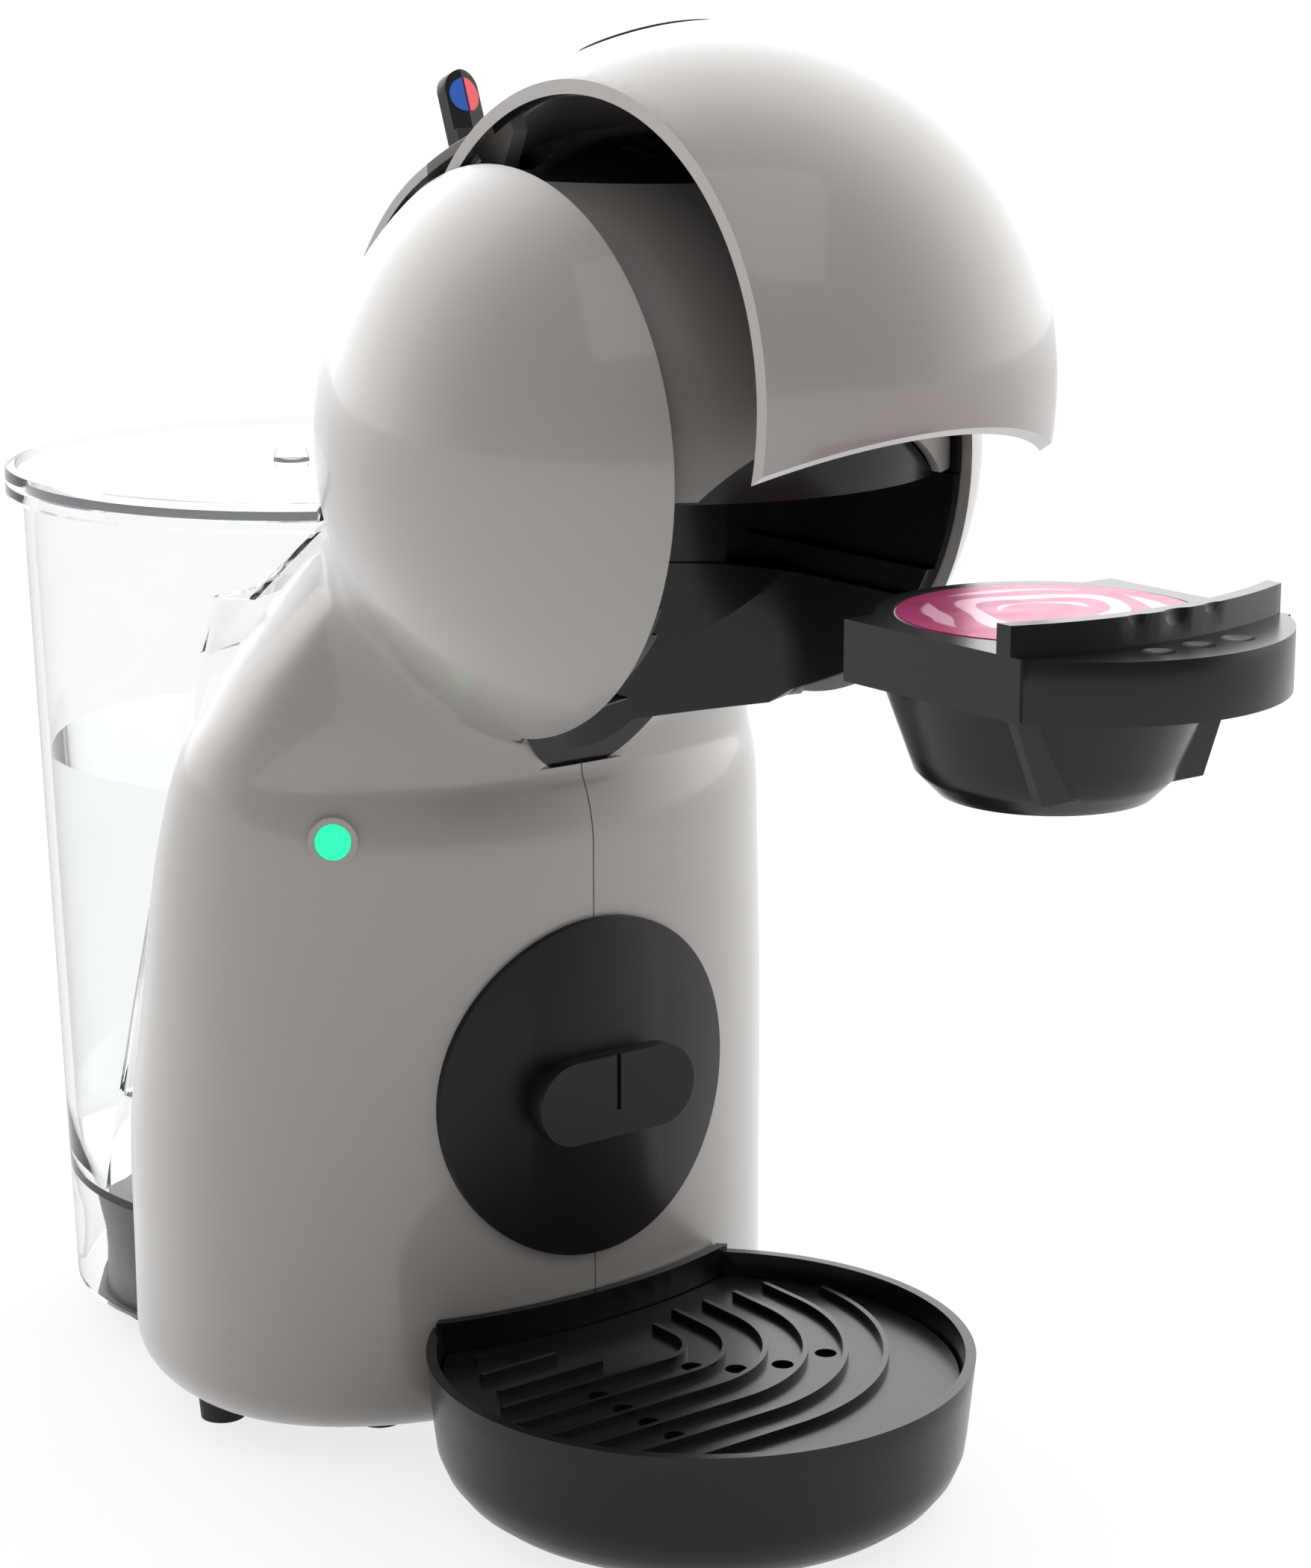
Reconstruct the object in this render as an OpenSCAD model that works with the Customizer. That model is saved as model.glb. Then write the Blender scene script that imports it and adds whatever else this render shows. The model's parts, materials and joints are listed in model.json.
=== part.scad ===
// Pod coffee machine: two body shells on a base plate, a round head with a lifting hood,
// a pull-out pod holder, a drip tray in front and a lift-off water tank behind.
// X = 0 is the plane of symmetry, -Y is the front and Z = 0 is the table.

/* [Body] */
// Width over both body shells
body_w = 141; // [137:1:145]
// Where the flat front of the body stands
body_front = 2.25; // [1.5:0.25:3]
// Depth of the body at its foot
body_d = 104.25; // [102:0.25:105]
// Height of the shells over the table
foot_h = 5.5; // [4.5:0.25:6]
// Wall of the body shells
wall = 2.5; // [2:0.1:3]
// Radius of the lower edge of the body
edge_r = 12; // [10:1:14]

/* [Head] */
// Radius of the round head
head_r = 63; // [62:0.25:64]
// Depth position of the head's centre
head_y = -15.5; // [-16:0.25:-15]
// Height of the head's centre
head_z = 207.3; // [206:0.1:209]
// Half of the gap between the two side housings
housing_x = 34.6; // [34.4:0.1:35.5]

/* [Hood] */
// Wall of the hood
hood_wall = 2.2; // [1.8:0.1:2.4]
// Side gap between the hood and a housing
hood_gap = 1.3; // [0.8:0.1:1.5]
// How far the hood stands open, in degrees
hood_open = 31.4; // [28:0.2:32]
// Height of the hinge over the head's centre
hinge_up = 47.35; // [46.5:0.05:48]
// Depth of the hood's lower edge under the head's centre
hood_drop = 36.1; // [34:0.1:37]
// Radius of the hinge pin
pin_r = 1.5; // [1.3:0.1:1.8]

/* [Alcove] */
// Half width of the alcove at its upper ledge
alcove_x = 29.5; // [29.3:0.1:30]
// Half width of the alcove at its lower rim
alcove_rim_x = 34; // [33:0.1:34.2]
// Wall of the alcove
alcove_wall = 2; // [1.8:0.1:2.2]
// Depth position of the alcove's round back
alcove_y = -28.5; // [-30:0.25:-28]

/* [Pod holder] */
// Width of the holder's plate
holder_w = 61.4; // [60.6:0.1:61.6]
// Thickness of the holder's plate
holder_t = 10.5; // [9.5:0.25:11]
// Height of the ledge that the holder slides on
ledge_z = 179.7; // [179:0.1:180.5]
// How far the holder pulls out
travel = 100; // [97:1:104]
// Radius of the pod's rim
pod_r = 26; // [25:0.25:26.2]
// Depth of the pod under its foil
pod_d = 25; // [23:0.5:25.5]

/* [Tank] */
// Radius of the tank at its foot
tank_r0 = 56; // [55:0.25:57]
// Radius of the tank under its rim
tank_r1 = 61.7; // [60:0.1:62]
// Radius of the tank's rim
rim_r = 65; // [64:0.25:65]
// How far the tank's axis stands in from the back of the body
tank_in = 3.25; // [3.25:0.25:4]
// Height of the tank's upper edge
tank_top = 190; // [186:1:193]
// Wall of the tank
tank_wall = 2; // [1.6:0.1:2.4]
// Height of the tank's floor
tank_floor = 33; // [30:1:36]

/* [Drip tray] */
// Radius of the tray's rim
tray_r = 54; // [52:0.5:55]
// Height of the tray's rim
tray_h = 29.75; // [27:0.25:31]
// Depth position of the tray's axis
tray_y = -32.45; // [-33:0.25:-32]
// Wall of the tray
tray_wall = 2; // [1.6:0.1:2.4]
// Spacing of the ribs on the tray's grid
rib_pitch = 8; // [7.5:0.25:8.5]

/* [Front disc] */
// Radius of the disc on the front
disc_r = 35; // [33:0.5:36]
// Height of the disc's centre
disc_z = 74.5; // [72:0.5:78]
// Length of the cup hook on the disc
hook_l = 38; // [34:1:40]
// Height of the cup hook
hook_h = 17; // [14:0.5:18]

/* [Lever] */
// Height of the lever's tip
lever_tip = 273; // [271:0.5:275]
// Width of the lever
lever_w = 7.8; // [7:0.1:8.5]
// Thickness of the lever
lever_t = 4; // [3.5:0.1:4.5]

/* [Power button] */
// Radius of the power button
button_r = 3.5; // [3:0.1:4]
// Height of the power button
button_z = 130; // [127:1:133]

/* [Hidden] */
$fn = 96;
fit = 0.3;
tiny = 0.1;

rim_z = 141;
slope_z = 155.6;
body_a = body_w / 2;
body_back = body_front + body_d;
body_y = 51.75;
back_round = 1.12909;
back_r = back_round * pow(body_a, 2) / (body_back - body_y);
oval_n = 2.2;
front_flat = 124;
front_curve = 4.75;
ring_n = 28;
shell_top = head_z + sqrt(pow(head_r, 2) - pow(housing_x - 1, 2));

// Sections of the body: height, half width, depth of the centre, depth of the back
sections = [
    [25, body_a, body_y, body_back],
    [60, body_a, body_y, body_back],
    [83, body_a - 1, 50, body_back - 6.75],
    [112, body_a - 2.5, 48.75, body_back - 13.75],
    [131, body_a - 3.8, 46.75, body_back - 23.75],
    [142, body_a - 5.9, 44.75, body_back - 30.5],
    [150, body_a - 10, 38.75, body_back - 30],
    [160, body_a - 13.5, 34.75, body_back - 30],
    [168, body_a - 19, 28.75, body_back - 33],
    [176, body_a - 22.5, 21, body_back - 40],
    [182, body_a - 22.5, 13, body_back - 47.5],
    [190, body_a - 24, 3, body_back - 56],
    [200, body_a - 30, -8, body_back - 66],
    [207, body_a - 40, head_y, head_y + 30],
    [300, body_a - 50, head_y, head_y + 15]
];
last = len(sections) - 1;

function mix(a, b, t) = a + (b - a) * max(0, min(1, t));
function row(z, i = 0) = (i >= last - 1 || z < sections[i + 1][0]) ? i : row(z, i + 1);
function step_at(z) = let (i = row(z)) (z - sections[i][0]) / (sections[i + 1][0] - sections[i][0]);
function section(z, k) = let (i = row(z)) mix(sections[i][k], sections[i + 1][k], step_at(z));
function front_at(z) = body_front + front_curve * pow(min(0.9, max(0, z - front_flat) / 16), 2);
function edge_in(z) = let (h = max(0, z - foot_h))
    h < edge_r ? edge_r - sqrt(pow(edge_r, 2) - pow(edge_r - h, 2)) : 0;

// Distance from a section's centre to its oval, at an angle from the front
function oval(t, a, b) = pow(pow(abs(sin(t)) / a, oval_n) + pow(abs(cos(t)) / b, oval_n), -1 / oval_n);
// Distance from the same centre to the far side of the head's circle
function ball(t, c, r) = let (
    b = -cos(t) * (head_y - c),
    d = pow(r, 2) - pow((head_y - c) * sin(t), 2)
) d > 0 ? max(0, b + sqrt(d)) : 0;
function head_ring(z, w) = sqrt(max(0, pow(head_r - w, 2) - pow(z - head_z, 2)));
function soft_max(a, b) = pow(pow(a, 16) + pow(b, 16), 1 / 16);
function skin(z, t, w) = let (
    c = section(z, 2),
    e = edge_in(z) + w,
    half = cos(t) >= 0 ? max(c - front_at(z), 20) : section(z, 3) - c
) soft_max(oval(t, section(z, 1) - e, half - e), ball(t, c, head_ring(z, w)));
function skin_point(z, t, w) = let (r = skin(z, t, w)) [r * sin(t), section(z, 2) - r * cos(t), z];
function body_outline(z, w) = [for (i = [0 : 71]) let (p = skin_point(z, i * 5, w)) [p[0], p[1]]];

rows = concat(
    [foot_h, foot_h + 0.3, foot_h + 1, foot_h + 2.2, foot_h + 4, foot_h + 6.5, foot_h + 9.5],
    [for (i = [0 : 12]) mix(foot_h + 15, rim_z + 5, i / 12)],
    [for (i = [1 : 11]) mix(rim_z + 5, slope_z + 12, i / 11)],
    [for (i = [1 : 17]) mix(slope_z + 12, shell_top, i / 17)]
);
ring_m = 2 * ring_n + 2;
shell_points = [for (z = rows) for (j = [0 : ring_m - 1])
    j <= ring_n ? skin_point(z, j * 180 / ring_n, 0)
                : skin_point(z, (ring_m - 1 - j) * 180 / ring_n, wall)];
shell_faces = concat(
    [for (i = [0 : len(rows) - 2]) for (j = [0 : ring_m - 1]) for (k = [0, 1])
        let (a = i * ring_m + j, b = i * ring_m + (j + 1) % ring_m)
            k == 0 ? [b, a, b + ring_m] : [b + ring_m, a, a + ring_m]],
    [for (j = [0 : ring_n - 1]) for (k = [0, 1])
        let (a = j, b = ring_m - 1 - j) k == 0 ? [b, a, b - 1] : [b - 1, a, a + 1]],
    [for (j = [0 : ring_n - 1]) for (k = [0, 1])
        let (s = (len(rows) - 1) * ring_m, a = s + j, b = s + ring_m - 1 - j)
            k == 0 ? [b - 1, a, b] : [a + 1, a, b - 1]]
);

hood_x = housing_x - hood_gap;
hood_in = head_r - hood_wall;
hinge_y = 0;
hinge_z = head_z + hinge_up;
hood_edge_z = head_z - hood_drop;
panel_r = hood_in - 2.3;
panel_t = 2.2;
jaw_z = head_z - 3.8;
deck_z = head_z + 50;
cover_r = head_r + 2.6;
cover_t = 1.7;
cover_x = hood_x - 0.4;

cover_y = hinge_y + 8.8;
cover_z = head_z + 15;
strip_r = 49.9;
wall_x = housing_x - 0.1;
liner_x = housing_x - fit;
slope_y = -20.75;
lip_y = body_front + 0.25;
lip_z = rim_z + 8.3;
slot_y = -8.3;
slot_z = ledge_z + 5.3;
slot_x = holder_w / 2 + 0.4;
plate_z = ledge_z + fit;
plate_top = plate_z + holder_t;
injector_r = 14;
injector_z = plate_top + 11.2;
pod_y = -125.6;
pod_in_y = pod_y + travel;
ring_r = 29.3;
front_r = 35;
front_y = pod_y - 7.65;
cup_bottom = plate_top - 30.5;
seat_z = plate_top - 1.5;
bar_r = 80;
bar_y = pod_y - pod_r - 1.9 + bar_r;
bar_top = plate_top + 5;
tray_round = 15;
tray_gap = 0.5;
lip_up = 1.5;
grid_z = tray_h - 6.5;
tank_y = body_back - tank_in;
tank_z0 = foot_h + 3.5;
rim_h = 6;
disc_curve = 126;
disc_t = 2.4;
disc_face = body_front - 1.6;
lever_lean = 20.7;
lever_l = 56;
lever_y = 27.4;
lever_z = lever_tip - lever_l * cos(lever_lean);
button_t = 59.8;
button_n = 38.3;
column_x = 24;
column_y = 12;
column_l = 16;
side_x = 20;
pump_x = body_a - 31.5;
pump_z = 25;
pump_r = 14.5;
hose_z = foot_h + 6.5;
pump_y1 = body_back - 28.5;
pump_y0 = pump_y1 - 45;
heater_x = 41.5 - body_a;
heater_y = body_back - 45.5;
heater_z = 40;
heater_h = 64;
inlet_x = 13;
board_arm_x = -33.2;

module along_x(half) {
    rotate([90, 0, 90]) linear_extrude(2 * half, center = true) children();
}
module rod_x(r, x0, x1) {
    translate([x0, 0, 0]) rotate([0, 90, 0]) cylinder(r = r, h = x1 - x0);
}
module rod_y(r, y0, y1) {
    translate([0, y0, 0]) rotate([-90, 0, 0]) cylinder(r = r, h = y1 - y0);
}
module box(x0, x1, y0, y1, z0, z1) {
    translate([x0, y0, z0]) cube([x1 - x0, y1 - y0, z1 - z0]);
}
module both_sides() {
    children();
    mirror([1, 0, 0]) children();
}
module at_head() {
    translate([0, head_y, head_z]) children();
}
module head_shell(r1, r0) {
    at_head() difference() {
        sphere(r = r1, $fn = 144);
        sphere(r = r0, $fn = 144);
    }
}
module lever_pose() {
    translate([0, lever_y, lever_z]) rotate([-lever_lean, 0, 0]) children();
}
// Turns the closed hood up to where it stands open
module hood_pose() {
    translate([0, hinge_y, hinge_z]) rotate([-hood_open, 0, 0]) translate([0, -hinge_y, -hinge_z])
        children();
}

// The space under the head, without its round back: grows by g
module alcove_space(g) {
    z0 = rim_z - 1;
    slope = (alcove_rim_x - alcove_x) / (ledge_z - rim_z);
    x0 = alcove_rim_x + slope + g;
    x1 = alcove_x + g;
    intersection() {
        union() {
            translate([0, alcove_y, z0]) cylinder(r1 = x0, r2 = x1, h = ledge_z - z0);
            translate([0, alcove_y, 0]) rotate([90, 0, 0]) linear_extrude(80)
                polygon([[-x0, z0], [x0, z0], [x1, ledge_z], [-x1, ledge_z]]);
            translate([0, pod_in_y, z0]) cylinder(r = pod_r + 3 + g, h = ledge_z - z0);
        }
        box(-liner_x - g, liner_x + g, alcove_y - 80, 60, z0, ledge_z);
    }
}
module bay_space(g, x) {
    translate([0, pod_in_y, ledge_z - tiny]) cylinder(r = ring_r + 0.7 + g, h = jaw_z - ledge_z + 1);
    box(-x, x, -110, slot_y + g, ledge_z - tiny, jaw_z + 1);
}
// Outline of the alcove from the side, over its rising lower rim
module alcove_side(top) {
    polygon([
        [body_front + 15, rim_z - 9.5], [slope_y, slope_z], [slope_y - 28.6, slope_z + 11.1],
        [-100, slope_z + 31], [-100, top], [body_front + 15, top]
    ]);
}
module head_cut() {
    intersection() {
        along_x(housing_x) alcove_side(head_z);
        union() {
            alcove_space(alcove_wall + fit);
            bay_space(alcove_wall + fit, housing_x);
            translate([0, 0, -alcove_wall - 1 - fit]) bay_space(alcove_wall + fit, housing_x);
        }
    }
    along_x(housing_x) polygon([
        [body_front, rim_z - 20], [body_front, rim_z], [slope_y, slope_z], [slope_y, jaw_z],
        [-100, jaw_z], [-100, rim_z - 20]
    ]);
    along_x(housing_x) polygon([
        [-100, jaw_z - 1], [-100, 320], [90, 320], [90, cover_z], [36, cover_z], [11, jaw_z - 1]
    ]);
}
module disc_lens(r, front, depth) {
    intersection() {
        translate([0, 0, disc_z]) rod_y(r, body_front - 10, body_front + 20);
        difference() {
            translate([0, front + disc_curve, 0]) cylinder(r = disc_curve, h = 200, $fn = 180);
            translate([0, front + disc_curve, -1])
                cylinder(r = disc_curve - depth, h = 202, $fn = 180);
        }
    }
}
module at_button() {
    p = skin_point(button_z, button_t, 0);
    translate([-p[0], p[1], button_z]) rotate([0, 0, -button_n]) children();
}
module half_shell() {
    polyhedron(points = shell_points, faces = shell_faces, convexity = 8);
}
module shell_cuts() {
    head_cut();
    disc_lens(disc_r + 0.15, disc_face - 5, 5 + disc_t + 0.05);
    translate([0, 0, hose_z]) rod_y(2.6, tank_y - 20, tank_y + 10);
}
module left_shell() {
    color([0.59, 0.57, 0.55]) difference() {
        mirror([1, 0, 0]) half_shell();
        shell_cuts();
        at_button() rod_y(button_r + 1.4, -8, 8);
    }
}
module right_shell() {
    color([0.59, 0.57, 0.55]) difference() {
        half_shell();
        shell_cuts();
        at_inlet() rod_y(5.05, -12, 12);
    }
}

// What the tank and its seat keep clear of: the back of the body and the neck, plus g
module tank_clear(g) {
    translate([0, body_back + 0.75 - back_r, -1]) cylinder(r = back_r + g, h = 63, $fn = 180);
    intersection() {
        translate([0, body_back + 4.5 - back_r / cos(17.2), 60]) rotate([17.2, 0, 0])
            translate([0, 0, -80]) cylinder(r = back_r + g, h = 240, $fn = 180);
        box(-90, 90, -120, 140, 60, 170);
    }
    translate([0, 1.75, 158]) cylinder(r1 = 82 + g, r2 = 56 + g, h = 28);
    translate([0, 1.75, 186 - tiny]) cylinder(r = 56 + g, h = 100);
}
module base_plate() {
    color([0.06, 0.06, 0.06]) difference() {
        union() {
            translate([0, 0, foot_h - 1]) linear_extrude(1) {
                polygon(body_outline(foot_h, 1));
                translate([0, tank_y]) circle(r = tank_r0 - 6);
            }
            translate([0, 0, foot_h]) linear_extrude(3) polygon(body_outline(foot_h, wall + 0.15));
            difference() {
                translate([0, tank_y, foot_h]) cylinder(r = tank_r0 - 6, h = 2);
                translate([0, 0, foot_h - 1]) linear_extrude(4) polygon(body_outline(foot_h + edge_r, -0.3));
            }
        }
        screw_places() translate([0, 0, -1]) cylinder(r = 1.7, h = 20);
    }
}
module foot_places() {
    both_sides() {
        translate([body_a - 14, body_back - 50.5, 0]) children();
        translate([32, column_y + 22, 0]) children();
        translate([30, tank_y + 26, 0]) children();
    }
}
module feet() {
    color([0.08, 0.08, 0.08]) foot_places() cylinder(r1 = 4.6, r2 = 5, h = foot_h - 1);
}
module screw_places() {
    both_sides() {
        translate([column_x + 1.5, column_y + column_l - 4, 0]) children();
        translate([body_a - 25.5, body_back - 36.5, 0]) children();
    }
}
module base_screws() {
    color([0.6, 0.6, 0.62]) screw_places() {
        translate([0, 0, foot_h - 2]) cylinder(r = 3, h = 1);
        translate([0, 0, foot_h - 1]) cylinder(r = 1.6, h = 3);
    }
}
module tank_seat() {
    color([0.16, 0.16, 0.17]) difference() {
        translate([0, tank_y, foot_h + 2])
            cylinder(r1 = tank_r0 - 7, r2 = tank_r0 - 5.5, h = tank_floor - foot_h - 2 - fit);
        tank_clear(tank_wall + 1.5);
        translate([0, tank_y + 24, foot_h]) cylinder(r = 7.5, h = 60);
        box(-3, 3, tank_y - 10, tank_y + 24, foot_h, foot_h + 9.5);
    }
}
module tank_valve() {
    color([0.1, 0.1, 0.1]) translate([0, tank_y + 24, 0]) difference() {
        union() {
            translate([0, 0, foot_h + 2]) cylinder(r = 7.3, h = tank_floor - foot_h - 8);
            translate([0, 0, tank_floor - 6]) cylinder(r = 4, h = 6 - fit);
        }
        translate([0, 0, foot_h + 4]) cylinder(r = 2, h = 60);
    }
}

module front_disc() {
    neck = 3.2;
    cap = 3.4;
    color([0.04, 0.04, 0.04]) {
        disc_lens(disc_r, disc_face, disc_t);
        translate([0, 0, disc_z]) {
            hook_bar(hook_l - 5, hook_h - 5, disc_face - neck, disc_face + 1);
            difference() {
                hook_bar(hook_l, hook_h, disc_face - neck - cap, disc_face - neck);
                box(-0.5, 0.5, disc_face - 30, disc_face - neck - cap + 0.8, -3, hook_h);
            }
        }
    }
}
module hook_bar(l, h, y0, y1) {
    both_sides() translate([l / 2 - h / 2, 0, 0]) rod_y(h / 2, y0, y1);
    box(h / 2 - l / 2, l / 2 - h / 2, y0, y1, -h / 2, h / 2);
}

module alcove_liner() {
    color([0.03, 0.03, 0.03]) difference() {
        intersection() {
            along_x(liner_x) alcove_side(jaw_z - 0.2);
            union() {
                alcove_space(alcove_wall);
                translate([0, 0, -alcove_wall]) bay_floor();
                bay_space(alcove_wall, liner_x);
            }
            lining_reach();
        }
        alcove_space(0);
        bay_space(0, slot_x);
        box(-liner_x + 1.3, liner_x - 1.3, -110, slot_y, slot_z, jaw_z + 1);
    }
}
// How far the lining reaches: flush with the head below the hood, and down to the rim
module lining_reach() {
    translate([0, head_y, head_z]) rod_x(strip_r, -60, 60);
    intersection() {
        at_head() sphere(r = head_r - fit, $fn = 144);
        box(-60, 60, -80, 40, rim_z - 10, hood_edge_z - 4);
    }
    along_x(liner_x) polygon([
        [lip_y, lip_z], [lip_y + 6.5, rim_z - 5], [lip_y + 40, rim_z - 5], [lip_y + 40, lip_z]
    ]);
}
module bay_floor() {
    intersection() {
        bay_space(alcove_wall, liner_x);
        box(-liner_x, liner_x, -110, 40, ledge_z - 1, ledge_z + alcove_wall);
    }
}
module inner_wall() {
    translate([0, head_y, 0]) intersection() {
        translate([0, 0, head_z]) rod_x(strip_r, hood_x + fit, wall_x);
        box(0, 60, -80, 46, jaw_z, 320);
    }
}
module left_inner_wall() {
    color([0.03, 0.03, 0.03]) mirror([1, 0, 0]) inner_wall();
}
module right_inner_wall() {
    color([0.03, 0.03, 0.03]) inner_wall();
}
module front_panel() {
    arch_r = 38.9;
    color([0.5, 0.48, 0.47]) difference() {
        intersection() {
            head_shell(panel_r, panel_r - panel_t);
            box(-hood_x, hood_x, head_y - 80, head_y, jaw_z + 0.8, deck_z - 0.2);
        }
        translate([0, 0, jaw_z - 25.9]) rod_y(arch_r, head_y - 80, head_y);
    }
}
module top_deck() {
    color([0.03, 0.03, 0.03]) difference() {
        intersection() {
            head_shell(panel_r - 0.2, panel_r - panel_t);
            box(-hood_x, hood_x, head_y - 60, hinge_y - 6, deck_z, 320);
        }
        both_sides() {
            box(9, 15, head_y - 18, head_y - 6, deck_z, 320);
            box(side_x + 2.5, side_x + 7.5, hinge_y - 17, hinge_y, deck_z - 1, 320);
        }
    }
}
module jaw() {
    dome_r = 38.5;
    color([0.03, 0.03, 0.03]) difference() {
        intersection() {
            at_head() sphere(r = panel_r - panel_t - 0.1, $fn = 144);
            union() {
                box(-hood_x, hood_x, head_y - 70, column_y - 0.1, jaw_z, jaw_z + 3);
                intersection() {
                    translate([0, 0, jaw_z - 25.9]) rod_y(dome_r, head_y - 80, head_y - 44);
                    box(-hood_x, hood_x, head_y - 80, head_y - 40, jaw_z, jaw_z + 14);
                }
            }
        }
        translate([0, pod_in_y, jaw_z - 1]) cylinder(r = injector_r + 0.4, h = 20);
    }
}
module frame() {
    color([0.12, 0.12, 0.13]) difference() {
        union() {
            both_sides() {
                box(column_x, column_x + 3, column_y, column_y + column_l, foot_h + 3, jaw_z);
                intersection() {
                    at_head() sphere(r = panel_r - panel_t - 0.2, $fn = 144);
                    along_x(100) polygon([
                        [head_y - 40, jaw_z + 3], [head_y - 44, jaw_z + 22], [hinge_y - 8, 300],
                        [hinge_y + 6, 300], [column_y + column_l, jaw_z + 22],
                        [column_y + column_l, jaw_z + 3]
                    ]);
                    box(side_x, side_x + 3, -100, 100, jaw_z, 320);
                }
            }
            for (z = [60, 130]) box(-column_x, column_x, column_y, column_y + 2.5, z, z + 14);
            intersection() {
                at_head() sphere(r = panel_r - panel_t - 0.2, $fn = 144);
                box(-column_x - 3, column_x + 3, column_y, column_y + 2.5, jaw_z - 10, jaw_z + 34);
            }
            box(board_arm_x, -column_x - 1, column_y + 3.3, column_y + 6, button_z - 18, button_z - 2);
        }
        lever_pose() rod_y(8.1, -40, 40);
        translate([0, hinge_y, hinge_z]) rod_x(pin_r + 0.05, -40, 40);
    }
}

module rear_cover() {
    color([0.59, 0.57, 0.55]) difference() {
        union() {
            intersection() {
                head_shell(cover_r, cover_r - cover_t);
                box(-cover_x, cover_x, cover_y, 90, cover_z + tiny, 320);
            }
            intersection() {
                head_shell(cover_r, head_r - wall);
                box(-cover_x, cover_x, 20, 90, cover_z + tiny, cover_z + 3);
            }
        }
        lever_pose() box(-12.5, 12.5, -3.4, 3.4, 20, 90);
    }
}

module hood_region(x, back) {
    along_x(x) polygon([
        [head_y - 90, hood_edge_z], [head_y, hood_edge_z], [head_y, head_z],
        [back, head_z + 32], [back, 320], [head_y - 90, 320]
    ]);
}
module hood_ear() {
    intersection() {
        box(side_x + 3 + fit, side_x + 6.5, hinge_y - 40, hinge_y + 20, hinge_z - 20, 320);
        union() {
            translate([0, hinge_y, hinge_z]) rod_x(4.5, 0, 40);
            along_x(40) polygon([
                [hinge_y - 14, hinge_z + 30], [hinge_y - 14, hinge_z + 4],
                [hinge_y - 2, hinge_z - 4], [hinge_y - 1.5, hinge_z + 30]
            ]);
        }
        at_head() sphere(r = hood_in + 0.4, $fn = 144);
    }
}
module hood_shell() {
    color([0.59, 0.57, 0.55]) hood_pose() difference() {
        union() {
            intersection() {
                head_shell(head_r, hood_in);
                hood_region(hood_x, hinge_y + 10);
            }
            both_sides() hood_ear();
        }
        translate([0, hinge_y, hinge_z]) rod_x(pin_r + 0.02, -40, 40);
        badge_plate(0.15, head_r - 0.95, head_r + 5);
    }
}
module hood_liner() {
    color([0.03, 0.03, 0.03]) hood_pose() intersection() {
        head_shell(hood_in - 0.05, hood_in - 1.4);
        hood_region(hood_x - 2, hinge_y - 14.5);
        box(-50, 50, head_y - 80, hinge_y + 20, hood_edge_z + 2.5, 320);
    }
}
// Oval plate on the crown of the hood, cut out of a ball shell
module badge_plate(g, r0, r1) {
    oval_a = 17;
    oval_b = 11.5;
    at_head() rotate([14, 0, 0]) intersection() {
        linear_extrude(80)
            polygon([for (i = [0 : 47]) [(oval_a + g) * cos(i * 7.5), (oval_b + g) * sin(i * 7.5)]]);
        difference() {
            sphere(r = r1, $fn = 144);
            sphere(r = r0, $fn = 144);
        }
    }
}
module hood_badge() {
    color([0.62, 0.6, 0.58]) hood_pose() badge_plate(0, head_r - 0.9, head_r + 0.1);
}
module hinge_pin() {
    color([0.7, 0.7, 0.72]) translate([0, hinge_y, hinge_z])
        rod_x(pin_r, -side_x - 6.5, side_x + 6.5);
}

module injector() {
    color([0.05, 0.05, 0.05]) translate([0, pod_in_y, 0]) difference() {
        translate([0, 0, injector_z]) cylinder(r = injector_r, h = 17);
        translate([0, 0, injector_z - 1]) cylinder(r = 1.1, h = 12);
    }
}
module injector_needle() {
    color([0.75, 0.75, 0.78]) translate([0, pod_in_y, injector_z - 0.4])
        cylinder(r1 = 0.3, r2 = 1, h = 11);
}
module injector_seal() {
    color([0.1, 0.1, 0.1]) translate([0, pod_in_y, injector_z - 0.6]) difference() {
        cylinder(r = 10, h = 0.6);
        translate([0, 0, -1]) cylinder(r = 6, h = 3);
    }
}

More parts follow.
